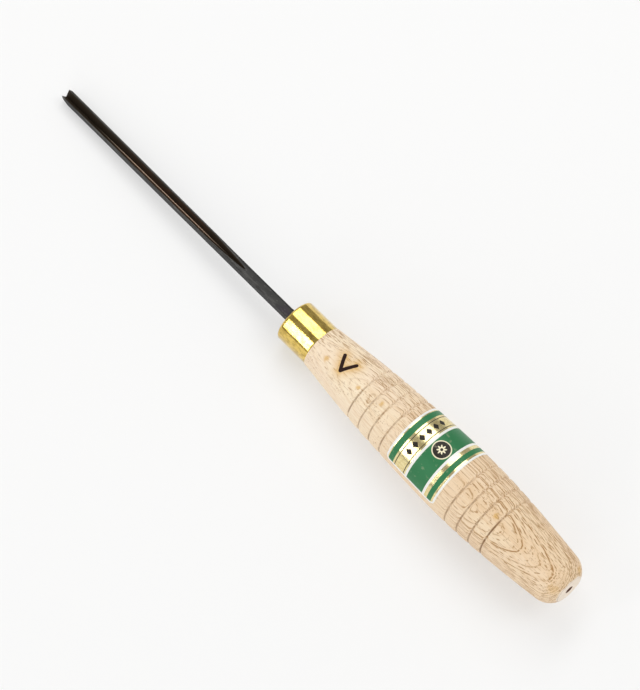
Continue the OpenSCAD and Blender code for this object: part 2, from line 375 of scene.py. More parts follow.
def beech():
    f = Finish("beech")
    up = f.z * math.cos(LAYER_LEAN) + f.y * math.sin(LAYER_LEAN)
    side = f.y * math.cos(LAYER_LEAN) - f.z * math.sin(LAYER_LEAN)
    bent = up + side * side * (1 / (2 * LAYER_BEND_R))
    drift = f.noise(f.stretched(0.018, 0.07), detail=1.0)
    ripple = f.noise(f.stretched(0.10, 0.35), detail=2.0)
    layer = (bent + (drift - 0.5) * LAYER_DRIFT + (ripple - 0.5) * LAYER_RIPPLE) / LAYER_MM
    strength = f.random(layer.whole()).step(0.15, 0.85)
    off_line = (layer.part() - 0.5).size()
    # A line is a little wider on the surface where the layers lie flat than where they stand upright
    thin = off_line / (f.attribute("steep") * (LINE_HALF_MM / LAYER_MM))
    broken = f.noise(f.stretched(0.22, 1.1), detail=2.0).step(0.38, 0.56)
    rear = f.x.step(*REAR_X)
    far_flank = side.step(*FAR_FLANK)
    behind = f.y.step(*BEHIND_Y) * f.z.step(*BEHIND_Z)
    # The near flank is smoother, but for the rear of the handle, and the grain is calmer behind
    grained = (side.step(*NEAR_FLANK) * (rear - 1.0)) * 0.7 - behind * 0.5 + 1.0
    line = thin.step(1.5, 0.4) * (strength * 0.75 + 0.25) * (broken * 0.85 + 0.15)
    line = line * (rear * 0.6 + 0.4) * grained
    # Finer lines between them are broken into dashes
    fine_off = ((layer * FINE_LINES + 0.27).part() - 0.5).size()
    fine_thin = fine_off / (f.attribute("steep") * (LINE_HALF_MM * FINE_LINES / LAYER_MM))
    fine_broken = f.noise(f.stretched(0.13, 1.5), detail=2.0).step(0.50, 0.62)
    fine_share = (rear * 0.6 + far_flank * 0.7 + 0.3).less(1.0)
    fine = fine_thin.step(1.5, 0.4) * fine_broken * fine_share * grained
    late = off_line.step(0.45, 0.05) * (strength * 0.7 + 0.3)
    # Fine streaks along the grain, and long dashes, mostly on the far flank
    streak = f.noise(f.stretched(0.05, 2.2), detail=3.0, roughness=0.6)
    dash_d, dash_pick = f.cells(f.stretched(0.075, 2.2))
    dash = dash_d.step(0.40, 0.22) * dash_pick.step(0.30, 0.70) * (far_flank * 0.6 + 0.4) * grained
    # Short dark flecks of the wood's rays, and round pores where they are cut across
    fleck_d, fleck_pick = f.cells(f.stretched(0.25, 1.6))
    fleck = fleck_d.step(0.36, 0.18) * fleck_pick.step(0.48, 0.92) * grained
    fleck = fleck * (far_flank * (rear - 1.0) * 0.6 + 1.0)
    pore_d, pore_pick = f.cells(f.stretched(1.1, 2.0))
    pore_zone = f.noise(f.stretched(0.07, 0.16), detail=1.0).step(0.46, 0.62)
    pore = pore_d.step(0.38, 0.20) * pore_pick.step(0.35, 0.6) * pore_zone
    # A few tan stains
    wobble = f.noise(f.stretched(0.9, 0.9), detail=2.0)
    stain = None
    for d, arc, reach, share in STAINS:
        r = surface_r(d)
        off = f.apart(on_axis(-d, r, arc / r)) + (wobble - 0.5) * reach
        spot = off.step(reach, 0.2 * reach) * share
        stain = spot if stain is None else stain.more(spot)
    tone = f.noise(f.stretched(0.035, 0.10), detail=2.0)
    base = f.mix(tone.step(0.36, 0.64), BEECH_PALE, BEECH_PINK)
    tan = late * 0.2 + (streak - 0.46).more(0.0) * 2.1 + f.x.step(*TAN_X) * 0.44
    tan = tan + side.step(*TOP_TAN) * 0.05
    tan = tan + rear * side.step(*REAR_TOP_TAN) * (far_flank * -0.7 + 1.0) * 0.22
    base = f.mix(tan.less(1.0), base, BEECH_TAN)
    base = f.mix(stain, base, SCORCH_TAN)
    base = f.mix(dash * 0.85, base, BEECH_LINE)
    base = f.mix((line * 0.88).more(fine * 0.85), base, BEECH_LINE)
    base = f.mix(fleck * 0.7, base, BEECH_FLECK)
    base = f.mix(pore * 0.55, base, BEECH_FLECK)
    # The butt's flat is painted paler, a painted sheen of the light on its end grain, and so are patches
    # of the worn edge round it
    sheen_patches = f.noise(f.stretched(0.5, 0.5), detail=1.0)
    end_sheen = (f.attribute("end") + (sheen_patches - 0.5) * 0.7).step(0.66, 0.84)
    base = f.mix(end_sheen * 0.8, base, BEECH_END_SHEEN)
    # The centre hole and its lip are painted dark brown, painted shade in the hollow
    base = f.mix(f.attribute("hole"), base, HOLE_SHADE_BROWN)
    # Dirt and painted shade in the turned rings: darker towards their bottoms, and with painted shade
    # darker on the near side and low behind than on the far side of the top
    wear = f.noise(f.stretched(0.3, 0.35), detail=2.0)
    shade_side = (f.y.step(*SHADE_SIDE_Y) * 0.85 + 0.15).more(behind * 0.65)
    dirt_and_shade = f.attribute("groove") * (wear.step(0.28, 0.62) * 0.5 + 0.4) * shade_side
    base = f.mix(dirt_and_shade, base, RING_DARK)
    # The scorch has a ragged edge, and the burnt strokes are nearly black
    ragged = f.noise(f.stretched(0.5, 0.9), detail=3.0)
    scorch = (f.attribute("scorch") * (ragged * 1.3 + 0.25)).less(1.0)
    base = f.mix(scorch * 0.85, base, SCORCH_TAN)
    burn = (f.attribute("burn") + (ragged - 0.5) * 0.3).step(0.28, 0.60)
    base = f.mix(burn, base, BURN_BROWN)
    f.set(Base_Color=base, Roughness=(streak * 0.2 + burn * 0.3 + 0.42), Specular_IOR_Level=0.25)
    height = streak * 0.35 - fleck * 0.6 - dash * 0.35 - line.more(fine) * 0.4
    height = height - pore * 0.5 + ragged * burn * 0.5
    f.bump(height, GRAIN_DEPTH, 0.6)
    return f.material


BRASS = (0.80, 0.57, 0.125)
BRASS_DULL = (0.48, 0.31, 0.045)
BRASS_DEPTH = 0.02


def brass():
    f = Finish("brass")
    cloud = f.noise(f.stretched(0.30, 0.40), detail=4.0, roughness=0.6)
    # The tube was polished while it turned, so its scratches run round it
    turned = f.noise(f.vector(f.x * 9.0, f.y * 0.25, f.z * 0.25), detail=3.0, roughness=0.6)
    nick_d, nick_pick = f.cells(f.stretched(0.5, 0.8))
    nick = nick_d.step(0.16, 0.04) * nick_pick.step(0.6, 0.7)
    tarnish = f.noise(f.stretched(0.55, 0.8), detail=4.0, roughness=0.6)
    dull = cloud.step(0.45, 0.62) * 0.35 + tarnish.step(0.44, 0.62) * 0.55 + nick * 0.3
    base = f.mix(dull.less(1.0), BRASS, BRASS_DULL)
    f.set(Base_Color=base, Metallic=1.0, Roughness=cloud * 0.12 + turned * 0.04 + nick * 0.2 + 0.04)
    f.set(Coat_Weight=0.8, Coat_Roughness=0.06)
    wave = f.noise(f.stretched(0.16, 0.22), detail=2.0)
    dimple = f.noise(f.stretched(1.3, 1.5), detail=2.0)
    f.bump(wave * 2.4 + dimple * 1.1 + turned * 0.12 - nick * 0.4, BRASS_DEPTH, 0.5)
    return f.material


SCALE_GREY = (0.046, 0.045, 0.043)
SCALE_DEEP = (0.026, 0.026, 0.025)
SCALE_BROWN = (0.032, 0.020, 0.010)
SCALE_RED = (0.070, 0.028, 0.012)
SCALE_WORN = (0.24, 0.235, 0.22)
SCALE_AND_SHADE_BLACK = (0.013, 0.013, 0.013)
TEMPER_PURPLE = (0.050, 0.038, 0.056)
VALLEY_GLINT = (0.95, 0.73, 0.57)
GROUND_STEEL = (0.42, 0.41, 0.40)
SCALE_DEPTH = 0.03
STONE_DEPTH = 0.01

# Where the steel's colour and its painted glint change, from not at all to fully
PURPLE_X = (24.0, 15.0)
RED_BACK_X = (48.0, 66.0)
RED_FRONT_X = (112.0, 88.0)
GLINT_BACK_X = (46.0, 64.0)
GLINT_FRONT_X = (118.0, 96.0)
RUBBED_Y = (0.2, 1.1)
RUBBED_Z = (1.6, 1.8)


def black_steel():
    f = Finish("black_steel")
    mottle = f.noise(f.stretched(0.25, 0.7), detail=4.0, roughness=0.65)
    drawn = f.noise(f.stretched(0.12, 4.5), detail=3.0, roughness=0.6)
    scale_d, scale_pick = f.cells(f.stretched(0.7, 1.6))
    flake = scale_d.step(0.36, 0.18) * scale_pick.step(0.62, 0.78)
    groove = f.attribute("groove")
    edge = f.attribute("edge")
    valley = f.attribute("valley")
    base = f.mix(mottle.step(0.35, 0.7) * 0.6, SCALE_GREY, SCALE_DEEP)
    base = f.mix(flake * 0.22, base, SCALE_WORN)
    base = f.mix(f.x.step(*PURPLE_X) * mottle.step(0.4, 0.6) * 0.7, base, TEMPER_PURPLE)
    # The top is rubbed along its near edge; the sides, the underside and the far top edge are painted
    # near-black as painted shade
    rubbed = f.y.step(*RUBBED_Y) * f.z.step(*RUBBED_Z) * drawn.step(0.44, 0.62) * mottle.step(0.62, 0.42)
    base = f.mix(rubbed * 0.24, base, SCALE_WORN)
    base = f.mix(f.attribute("scale_and_shade") * 0.85, base, SCALE_AND_SHADE_BLACK)
    # The V kept a brown bloom from hardening, redder along the middle of its length
    red = f.x.step(*RED_BACK_X) * f.x.step(*RED_FRONT_X) * mottle.step(0.42, 0.62)
    bloom = f.mix(red * 0.7, SCALE_BROWN, SCALE_RED)
    base = f.mix(groove * (drawn * 0.3 + 0.7), base, bloom)
    worn = edge * drawn.step(0.36, 0.62) * 0.8
    base = f.mix(worn, base, SCALE_WORN)
    # A painted glint: a warm highlight painted along the bottom of the V, away from the cutting edge
    line = valley * f.x.step(*GLINT_FRONT_X) * f.x.step(*GLINT_BACK_X)
    base = f.mix(line * (drawn * 0.4 + 0.6), base, VALLEY_GLINT)
    f.set(Base_Color=base, Metallic=0.15, Specular_IOR_Level=0.22)
    f.set(Roughness=mottle * 0.2 + drawn * 0.10 - worn * 0.12 - line * 0.15 + 0.38)
    f.bump(mottle * 0.8 + drawn * 0.5 + flake * 0.5, SCALE_DEPTH, 0.5)
    return f.material


def ground_steel():
    f = Finish("ground_steel")
    # The stone's marks run across the bevel
    stone = f.noise(f.vector(f.x * 14.0, f.y * 1.2, f.z * 1.2), detail=3.0, roughness=0.6)
    cloud = f.noise(f.stretched(0.6, 0.9), detail=2.0)
    base = f.mix(cloud * 0.5, GROUND_STEEL, SCALE_WORN)
    f.set(Base_Color=base, Metallic=1.0, Roughness=stone * 0.2 + 0.2)
    f.bump(stone, STONE_DEPTH, 0.5)
    return f.material


FOIL_GOLD = (0.86, 0.74, 0.40)
FOIL_DULL = (0.72, 0.58, 0.27)
PRINT_GREEN = (0.028, 0.185, 0.068)
PRINT_WHITE = (0.86, 0.86, 0.83)
PRINT_CREAM = (0.86, 0.79, 0.55)
PRINT_DARK = (0.018, 0.014, 0.008)
PRINT_SOFT = 0.07
FOIL_DEPTH = 0.015
BORDER_W = 0.75

# Stripes and a rule, measured from the label's front end or, for the last stripe, from its back end
FRONT_STRIPE = (1.1, 3.3)
FRONT_RULE = (4.1, 4.4)
BACK_STRIPE = (1.5, 3.4)

# Bands, lozenges and the round sign, placed along the handle from the label's middle, but for
# the row of lozenges, which lies so far behind the middle of the label's front half
BROAD_BAND = (-1.6, 6.2)
WHITE_W = 0.9
MIDDLE_RULE = (-3.4, -3.1)
LOZENGE_PITCH = 3.3
LOZENGE_HALF = 1.15
LOZENGE_SHARE = 0.8
LOZENGE_ROW_HALF = 3.0 * LOZENGE_PITCH
LOZENGE_ROW_BACK = 0.5
SIGN_AT = 2.3
SIGN_R = 3.5
SIGN_RIM = 0.4
SIGN_EYE_R = 0.55
PETALS = 8.0
PETAL_R = 1.35
PETAL_SWING = 0.45


def printed_foil():
    """Plain printed bands on gold foil: a broad green one with a round sign, and narrow stripes."""
    f = Finish("printed_foil")
    u = f.attribute("around")
    v = f.attribute("along")
    half_len = label_len / 2

    def within(value, limit):
        return value.step(limit + PRINT_SOFT, limit - PRINT_SOFT)

    def band(value, low, high):
        return value.step(low - PRINT_SOFT, low + PRINT_SOFT) * within(value, high)

    grain = f.noise(f.stretched(1.2, 1.2), detail=3.0)
    base = f.mix(grain.step(0.35, 0.7), FOIL_GOLD, FOIL_DULL)
    border = within(f.attribute("border"), BORDER_W)
    # A green stripe at the front and at the back, and a broad band behind the middle
    front = band(v, FRONT_STRIPE[0] - half_len, FRONT_STRIPE[1] - half_len)
    back = band(v, half_len - BACK_STRIPE[1], half_len - BACK_STRIPE[0])
    green = front.more(back).more(band(v, *BROAD_BAND))
    base = f.mix(green, base, PRINT_GREEN)
    # White on both sides of the broad band, and thin dark rules in the front field
    low, high = BROAD_BAND
    white = band(v, low - WHITE_W, low).more(band(v, high, high + WHITE_W))
    base = f.mix(white, base, PRINT_WHITE)
    rules = band(v, FRONT_RULE[0] - half_len, FRONT_RULE[1] - half_len).more(band(v, *MIDDLE_RULE))
    # A row of lozenges between the rules
    along_row = ((u / LOZENGE_PITCH).part() - 0.5).size() * LOZENGE_PITCH
    across_row = (v - (LOZENGE_ROW_BACK - half_len / 2)).size()
    lozenge = within(along_row + across_row * LOZENGE_SHARE, LOZENGE_HALF)
    dark = rules.more(lozenge * within(u.size(), LOZENGE_ROW_HALF))
    base = f.mix(dark, base, PRINT_DARK)
    # A round sign on the broad band: a dark disc with a pale rim and a small rosette
    w = v - SIGN_AT
    sign = (u * u + w * w).math("SQRT")
    disc = within(sign, SIGN_R)
    base = f.mix(disc, base, PRINT_DARK)
    petals = (u.math("ARCTAN2", w) * PETALS).math("COSINE") * PETAL_SWING + PETAL_R
    rim = band(sign, SIGN_R - SIGN_RIM, SIGN_R)
    base = f.mix(rim.more(within(sign - petals, 0.0)), base, PRINT_CREAM)
    base = f.mix(within(sign, SIGN_EYE_R), base, PRINT_DARK)
    base = f.mix(border, base, PRINT_WHITE)
    print_share = border.more(green).more(white).more(dark).more(disc)
    scuff = f.noise(f.stretched(0.4, 0.5), detail=4.0, roughness=0.65)
    base = f.mix(scuff.step(0.60, 0.72) * 0.15, base, PRINT_CREAM)
    # Bare foil mirrors the room, and the print on it is nearly dull
    f.set(Base_Color=base, Metallic=print_share * -0.8 + 0.9)
    f.set(Roughness=scuff * 0.10 + print_share * 0.22 + 0.14, Specular_IOR_Level=0.3)
    f.bump(grain * 0.2 + scuff, FOIL_DEPTH, 0.4)
    return f.material


# Meshes, with the angle in degrees from which an edge is shown as one
SHARP_FROM = 32
HANDLE_SHARP_FROM = 20


def add_piece(name, bm, materials, node, sharp=SHARP_FROM):
    """Make an object of a bmesh in millimetres, and let it stand for a CAD node.

    Edges sharper than so many degrees are shown as edges, and the rest as a smooth surface.
    """
    bmesh.ops.scale(bm, vec=(MM, MM, MM), verts=bm.verts)
    bmesh.ops.recalc_face_normals(bm, faces=bm.faces)
    mesh = bpy.data.meshes.new(name)
    bm.to_mesh(mesh)
    bm.free()
    mesh.polygons.foreach_set("use_smooth", [True] * len(mesh.polygons))
    mesh.set_sharp_from_angle(angle=math.radians(sharp))
    for material in materials:
        mesh.materials.append(material)
    piece = bpy.data.objects.new(name, mesh)
    bpy.context.scene.collection.objects.link(piece)
    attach(piece, "root")
    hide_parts(node)


def on_axis(x, r, angle):
    """Point at a radius, with the angle measured from the top towards the near side."""
    return Vector((x, r * math.sin(angle), r * math.cos(angle)))


def bridge(bm, a, b, closed=True):
    """Faces between two rows of vertices, where a row of one vertex is a pole."""
    n = max(len(a), len(b))
    for j in range(n if closed else n - 1):
        k = (j + 1) % n
        corners = [a[j % len(a)], a[k % len(a)], b[k % len(b)], b[j % len(b)]]
        bm.faces.new(list(dict.fromkeys(corners)))


def smoothstep(low, high, value):
    t = np.clip((value - low) / (high - low), 0.0, 1.0)
    return t * t * (3 - 2 * t)


handle_len = -butt_x
belly_at = handle_len - BELLY_FROM_BUTT
tail_at = handle_len - TAIL_LEN
knots = [(0.0, ferrule_r + SHOULDER_PROUD), (GRIP_AT, GRIP_R), (belly_at, belly_r), (tail_at, TAIL_R)]
secants = [(b[1] - a[1]) / (b[0] - a[0]) for a, b in zip(knots, knots[1:])]


def inner_slope(i):
    """Slope of the wood's outline at a knot between two others."""
    a, b = secants[i - 1], secants[i]
    return 0.0 if a * b <= 0 else 2 * a * b / (a + b)


slopes = [inner_slope(i) for i in range(1, len(knots) - 1)]
slopes = [
    (3 * secants[0] - slopes[0]) / 2,
    *slopes,
    (3 * secants[-1] - slopes[-1]) / 2,
]


def wood_r(d):
    """Radius of the wood at a distance behind the shoulder, in front of the rounded butt."""
    i = next((k for k in range(len(secants)) if d <= knots[k + 1][0]), len(secants) - 1)
    h = knots[i + 1][0] - knots[i][0]
    t = (d - knots[i][0]) / h
    return (
        (1 + 2 * t) * (1 - t) ** 2 * knots[i][1]
        + t * (1 - t) ** 2 * h * slopes[i]
        + t * t * (3 - 2 * t) * knots[i + 1][1]
        + t * t * (t - 1) * h * slopes[i + 1]
    )


# The butt's arc leaves the outline at the tail without a corner and ends on the flat's edge
butt_start = Vector(knots[-1])
butt_end = Vector((handle_len, BUTT_FLAT_R))
butt_chord = butt_end - butt_start
tail_lean = math.atan(slopes[-1])
butt_inward = Vector((math.sin(tail_lean), -math.cos(tail_lean)))
butt_r = butt_chord.length_squared / (2 * butt_chord.dot(butt_inward))
butt_centre = butt_start + butt_r * butt_inward


def butt_arc(steps):
    """Arc from the tail to the edge of the butt's flat, as distance and radius."""
    a0 = math.atan2(butt_start.y - butt_centre.y, butt_start.x - butt_centre.x)
    a1 = math.atan2(butt_end.y - butt_centre.y, butt_end.x - butt_centre.x)
    angles = [a0 + (a1 - a0) * i / steps for i in range(1, steps + 1)]
    return [(butt_centre.x + butt_r * math.cos(a), butt_centre.y + butt_r * math.sin(a)) for a in angles]


def surface_r(d):
    """Radius of the wood at a distance behind the shoulder, on the rounded butt as well."""
    if d <= tail_at:
        return wood_r(d)
    return butt_centre.y + math.sqrt(butt_r ** 2 - (d - butt_centre.x) ** 2)


rear_rings_at = handle_len - REAR_RINGS_FROM_BUTT - (RING_COUNT - 1) * RING_PITCH
ring_places = [
    first + i * RING_PITCH
    for first in (FRONT_RINGS_AT, rear_rings_at)
    for i in range(RING_COUNT)
]
ring_cutter_r = ((RING_W / 2) ** 2 + RING_DEPTH ** 2) / (2 * RING_DEPTH)


def ring_cut(d):
    """How deep a ring is cut at a distance behind the shoulder."""
    off = min(abs(d - p) for p in ring_places)
    if off >= RING_W / 2:
        return 0.0
    return math.sqrt(ring_cutter_r ** 2 - off ** 2) - (ring_cutter_r - RING_DEPTH)


def ring_round(d):
    """How far sanding took the wood down beside a ring."""
    off = min(abs(d - p) for p in ring_places)
    return RING_SHOULDER_DROP * max(0.0, 1 - off / RING_SHOULDER) ** 2


# How dark each ring is painted, with dirt and painted shade, from the front to the back
RING_DIRT_AND_SHADE = (0.7, 0.55, 0.7, 0.65, 0.65, 0.65, 0.6, 1.0)
# Shares of a ring's depth where its dirt and painted shade begin and are full
RING_DARK_FROM = 0.3
RING_DARK_FULL = 0.95


def ring_dirt_and_shade(d):
    """Dirt and painted shade in the ring nearest to a distance behind the shoulder."""
    nearest = min(range(len(ring_places)), key=lambda i: abs(d - ring_places[i]))
    return RING_DIRT_AND_SHADE[nearest % len(RING_DIRT_AND_SHADE)]


def mark_distance(d, arc):
    """Distance from the middle of the mark's two strokes, along the handle and round it."""
    here = Vector((d - MARK_AT, arc - MARK_OFF))
    foot = Vector((0, MARK_H / 2))
    found = []
    for side in (-1, 1):
        arm = Vector((side * MARK_W / 2, -MARK_H / 2)) - foot
        t = max(0.0, min(1.0, (here - foot).dot(arm) / arm.length_squared))
        found.append((here - foot - t * arm).length)
    return min(found)


# Steps of the handle's mesh round it, fine between two angles over the mark
MARK_FIRST_TURN = math.radians(-16)
MARK_LAST_TURN = math.radians(36)
MARK_TURN = math.radians(0.8)
PLAIN_TURN = math.radians(3)


def handle_angles():
    """Angles round the handle: close together over the mark, wider apart elsewhere."""
    middle = list(np.arange(MARK_FIRST_TURN, MARK_LAST_TURN, MARK_TURN))
    rest = 2 * math.pi - (MARK_LAST_TURN - MARK_FIRST_TURN)
    count = round(rest / PLAIN_TURN)
    return middle + [MARK_LAST_TURN + rest * i / count for i in range(count)]


# Steps of the handle's mesh along it
OUTLINE_PLACES = 90
MARK_REACH = 5
MARK_STEP = 0.17
SHOULDER_PLACES = 7
RING_TURNS = [math.radians(15 * k) for k in range(-6, 7)]


def handle_places():
    """Distances behind the shoulder where the wood's outline has a ring of points."""
    places = set(np.linspace(0, tail_at, OUTLINE_PLACES))
    places |= set(np.arange(MARK_AT - MARK_REACH, MARK_AT + MARK_REACH, MARK_STEP))
    shoulder = np.linspace(RING_W / 2, RING_SHOULDER, SHOULDER_PLACES)[1:]
    for p in ring_places:
        places = {d for d in places if abs(d - p) > RING_SHOULDER}
        places |= {p + RING_W / 2 * math.sin(turn) for turn in RING_TURNS}
        places |= {p + side * d for d in shoulder for side in (-1, 1)}
    return sorted(places)


STEEP_POWER = 0.75
BUTT_SLOPE = 0.4
LEAST_SLOPE = 0.06


def steepness(d, angle):
    """How steeply the wood's layers meet its surface: near 0 where they lie flat on it."""
    if d >= tail_at:
        slope = BUTT_SLOPE
    else:
        slope = abs(wood_r(d + 0.5) - wood_r(d - 0.5))
    return max(LEAST_SLOPE, math.hypot(math.sin(angle - LAYER_LEAN), slope)) ** STEEP_POWER


def make_handle(material):
    bm = bmesh.new()
    names = ("burn", "scorch", "groove", "steep", "end", "hole")
    layers = {name: bm.verts.layers.float.new(name) for name in names}
    angles = handle_angles()
    bore_end = BORE_SPARE - tang_end_x
    bore = [(bore_end, 0.0), (bore_end, BORE_END_R), (-tang_end_x, BORE_END_R)]
    tenon = [
        (-seat_x, BORE_MOUTH_R),
        (-seat_x, TENON_R - TENON_CHAMFER),
        (TENON_CHAMFER - seat_x, TENON_R),
        (0.0, TENON_R),
    ]
    outline = [(d, wood_r(d)) for d in handle_places()] + butt_arc(BUTT_STEPS)
    hole_end = handle_len - CENTRE_HOLE_DEPTH
    lip_r = CENTRE_HOLE_R + HOLE_LIP
    hole = [
        (handle_len, BUTT_FLAT_R - BUTT_EDGE),
        (handle_len, lip_r + HOLE_LIP_EDGE),
        (handle_len, lip_r),
        (handle_len - HOLE_LIP_DEPTH, CENTRE_HOLE_R),
        (hole_end + CENTRE_CONE, CENTRE_HOLE_R),
        (hole_end, 0.0),
    ]
    rows = []
    for d, r in bore + tenon + outline + hole:
        cut = ring_cut(d) if (d, r) in outline else 0.0
        taken = max(cut, ring_round(d)) if (d, r) in outline else 0.0
        near_mark = (d, r) in outline and abs(d - MARK_AT) < SCORCH_ZONE
        # Rings are painted darker towards their bottoms, partly as dirt and partly as painted shade
        dirt_and_shade = ring_dirt_and_shade(d) * float(smoothstep(RING_DARK_FROM, RING_DARK_FULL, cut / RING_DEPTH))
        # The edge round the butt's flat is darkened as the rings are, with their painted shade
        if (d, r) == outline[-1]:
            dirt_and_shade = BUTT_EDGE_DARK
        # The butt's painted sheen covers its flat and fades out over the rounded edge round it
        end = 0.0
        if d > tail_at:
            end = max(0.0, 1 - max(0.0, r - BUTT_FLAT_R) / BUTT_SHEEN_REACH)
        row = []
        for a in angles if r > 0 else [0.0]:
            signed = (a + math.pi) % (2 * math.pi) - math.pi
            gap = FAR_FROM_MARK
            if near_mark and abs(signed) < SCORCH_ZONE_TURN:
                gap = mark_distance(d, r * signed)
            pressed = MARK_DEPTH * float(smoothstep(PRESS_FROM, PRESS_FULL, gap))
            vert = bm.verts.new(on_axis(-d, r - taken - pressed, a))
            vert[layers["burn"]] = float(smoothstep(BURN_FROM, BURN_FULL, gap))
            vert[layers["hole"]] = float(d >= hole_end and r <= lip_r)
            vert[layers["scorch"]] = math.exp(-((gap / SCORCH_REACH) ** 2))
            vert[layers["groove"]] = dirt_and_shade
            vert[layers["steep"]] = steepness(d, a)
            vert[layers["end"]] = end
            row.append(vert)
        rows.append(row)
    for a, b in zip(rows, rows[1:]):
        bridge(bm, a, b)
    add_piece("turned_handle", bm, [material], "handle", HANDLE_SHARP_FROM)


# Steps of the ferrule's mesh
ROUND_STEPS = 8
STRAIGHT_PLACES = 16
FERRULE_TURNS = 160


def make_ferrule(material):
    bm = bmesh.new()
    bore_r = ferrule_r - FERRULE_WALL
    turns = [math.pi / 2 * i / ROUND_STEPS for i in range(ROUND_STEPS + 1)]
    back = [
        (BACK_ROUND * (1 - math.sin(a)), ferrule_r - BACK_ROUND * (1 - math.cos(a)))
        for a in reversed(turns)
    ]
    straight_end = rim_x - RIM_ROUND - STRAIGHT_SHORT
    straight = [(x, ferrule_r) for x in np.linspace(STRAIGHT_FROM, straight_end, STRAIGHT_PLACES)]
    front = [
        (rim_x - RIM_ROUND * (1 - math.sin(a)), ferrule_r - RIM_ROUND * (1 - math.cos(a)))
        for a in turns
    ]
    mouth = [(rim_x, bore_r + MOUTH_BREAK), (rim_x - MOUTH_BREAK, bore_r)]
    profile = [(0.0, bore_r), *back, *straight, *front, *mouth]
    angles = [2 * math.pi * j / FERRULE_TURNS for j in range(FERRULE_TURNS)]
    rows = [[bm.verts.new(on_axis(x, r, a)) for a in angles] for x, r in profile]
    for a, b in zip(rows, rows[1:] + rows[:1]):
        bridge(bm, a, b)
    add_piece("tube_ferrule", bm, [material], "ferrule")


flare_end_x = seat_x + FLARE_LEN
groove_x = rim_x + GROOVE_START
ramp_end_x = groove_x + GROOVE_RAMP
flare_rise = shoulder_half - SHANK_HALF_W
flare_r = (FLARE_LEN ** 2 + flare_rise ** 2) / (2 * flare_rise)


def flare(x):
    """How far the blade's sides stand out from the shank near the shoulder."""
    return flare_r - math.sqrt(flare_r ** 2 - max(0.0, flare_end_x - x) ** 2)


def groove_half_w(x):
    """Half the width of the V groove at a place along the tool."""
    if x <= groove_x:
        return 0.0
    if x <= ramp_end_x:
        return GROOVE_BACK_HALF_W * math.sqrt((x - groove_x) / GROOVE_RAMP)
    t = (x - ramp_end_x) / (tip_x - ramp_end_x)
    return GROOVE_BACK_HALF_W + t * (GROOVE_TIP_HALF_W - GROOVE_BACK_HALF_W)


def blade_corners(x, tang):
    """Corners of the bar's section as (y, z, rounding), from the groove's near lip onwards."""
    if tang:
        t = (x - tang_end_x) / (seat_x - tang_end_x)
        half = TANG_POINT_HALF_W + (TANG_HALF_W - TANG_POINT_HALF_W) * t
        half_w, top, bottom = half, half, -half
        side_end, keel, edge = TANG_CHAMFER - half, half - TANG_CHAMFER, TANG_ROUND
    else:
        grow = flare(x)
        t = max(0.0, (x - groove_x) / (tip_x - groove_x))
        half_w = SHANK_HALF_W + grow + t * (TIP_HALF_W - SHANK_HALF_W)
        top, bottom = SHANK_HALF_H + grow, -SHANK_HALF_H - grow
        side_end = (1 - t) * (bottom + SHANK_CHAMFER) + t * (top - TIP_SIDE_H)
        keel = (1 - t) * (SHANK_HALF_W + grow - SHANK_CHAMFER) + t * TIP_HALF_KEEL
        edge = EDGE_ROUND
    lip = max(groove_half_w(x), LEAST_LIP)
    depth = groove_half_w(x) / math.tan(HALF_V)
    near = [
        (lip, top, LIP_ROUND),
        (half_w, top, edge),
        (half_w, side_end, SIDE_ROUND),
        (keel, bottom, SIDE_ROUND),
    ]
    far = [(-y, z, r) for y, z, r in reversed(near)]
    return near + far + [(0.0, top - depth, VALLEY_ROUND)]


CORNER_SHARE = 0.42
EDGE_SHARES = (0.06, 0.35, 0.65, 0.94)


def rounded(corners, arc_steps):
    """Closed outline with rounded corners.

    Gives the points, the number of the corner or edge of each, and how far along that it lies.
    """
    n = len(corners)
    flat = [Vector(c[:2]) for c in corners]
    starts, ends = [], []
    for i in range(n):
        back, ahead = flat[i - 1] - flat[i], flat[(i + 1) % n] - flat[i]
        turn = back.angle(ahead, math.pi)
        limit = CORNER_SHARE * min(back.length, ahead.length)
        reach = min(corners[i][2] / max(math.tan(turn / 2), 1e-3), limit)
        starts.append(flat[i] + back.normalized() * reach)
        ends.append(flat[i] + ahead.normalized() * reach)
    points, tags, shares = [], [], []
    for i in range(n):
        for k in range(arc_steps + 1):
            t = k / arc_steps
            points.append((1 - t) ** 2 * starts[i] + 2 * t * (1 - t) * flat[i] + t * t * ends[i])
            tags.append(("corner", i))
            shares.append(t)
        for share in EDGE_SHARES:
            points.append(ends[i].lerp(starts[(i + 1) % n], share))
            tags.append(("edge", i))
            shares.append(share)
    return points, tags, shares


# Numbers of the section's corners, and how wear and painted shade lie on its edges
NEAR_LIP, NEAR_TOP, FAR_TOP, FAR_LIP, VALLEY = 0, 1, 6, 7, 8
SCALE_AND_SHADE_EDGES = (("edge", NEAR_TOP), ("corner", FAR_TOP))
FAR_LAND_DARK = 0.1
FAR_WEAR = 0.35
FAR_WEAR_SHARES = (0.3, 0.9)
NEAR_TOP_WEAR = 0.25
LIP_SHARE = 0.5
LIP_WEAR_BACK = 0.3
# Where wear begins and is full in front of the groove's start, and where the near land changes behind
# the tip
WEAR_FROM = 1
WEAR_FULL = 6
NEAR_TIP_FROM = 34
NEAR_TIP_FULL = 12

# Steps of the blade's mesh
TANG_PLACES = 12
FLARE_PLACES = 17
SHANK_PLACES = 22
RAMP_PLACES = 26
RUN_PLACES = 90
CORNER_STEPS = 4


def blade_stations():
    """Places along the tool where the blade has a section, with True on the tang."""
    tang = [(x, True) for x in np.linspace(tang_end_x, seat_x, TANG_PLACES)]
    flared = [(x, False) for x in np.linspace(seat_x, flare_end_x, FLARE_PLACES)]
    shank = [(x, False) for x in np.linspace(flare_end_x, groove_x, SHANK_PLACES)[1:]]
    ramp = [(groove_x + GROOVE_RAMP * t * t, False) for t in np.linspace(0, 1, RAMP_PLACES)[1:]]
    run = [(x, False) for x in np.linspace(ramp_end_x, tip_x, RUN_PLACES)[1:]]
    return tang + flared + shank + ramp + run


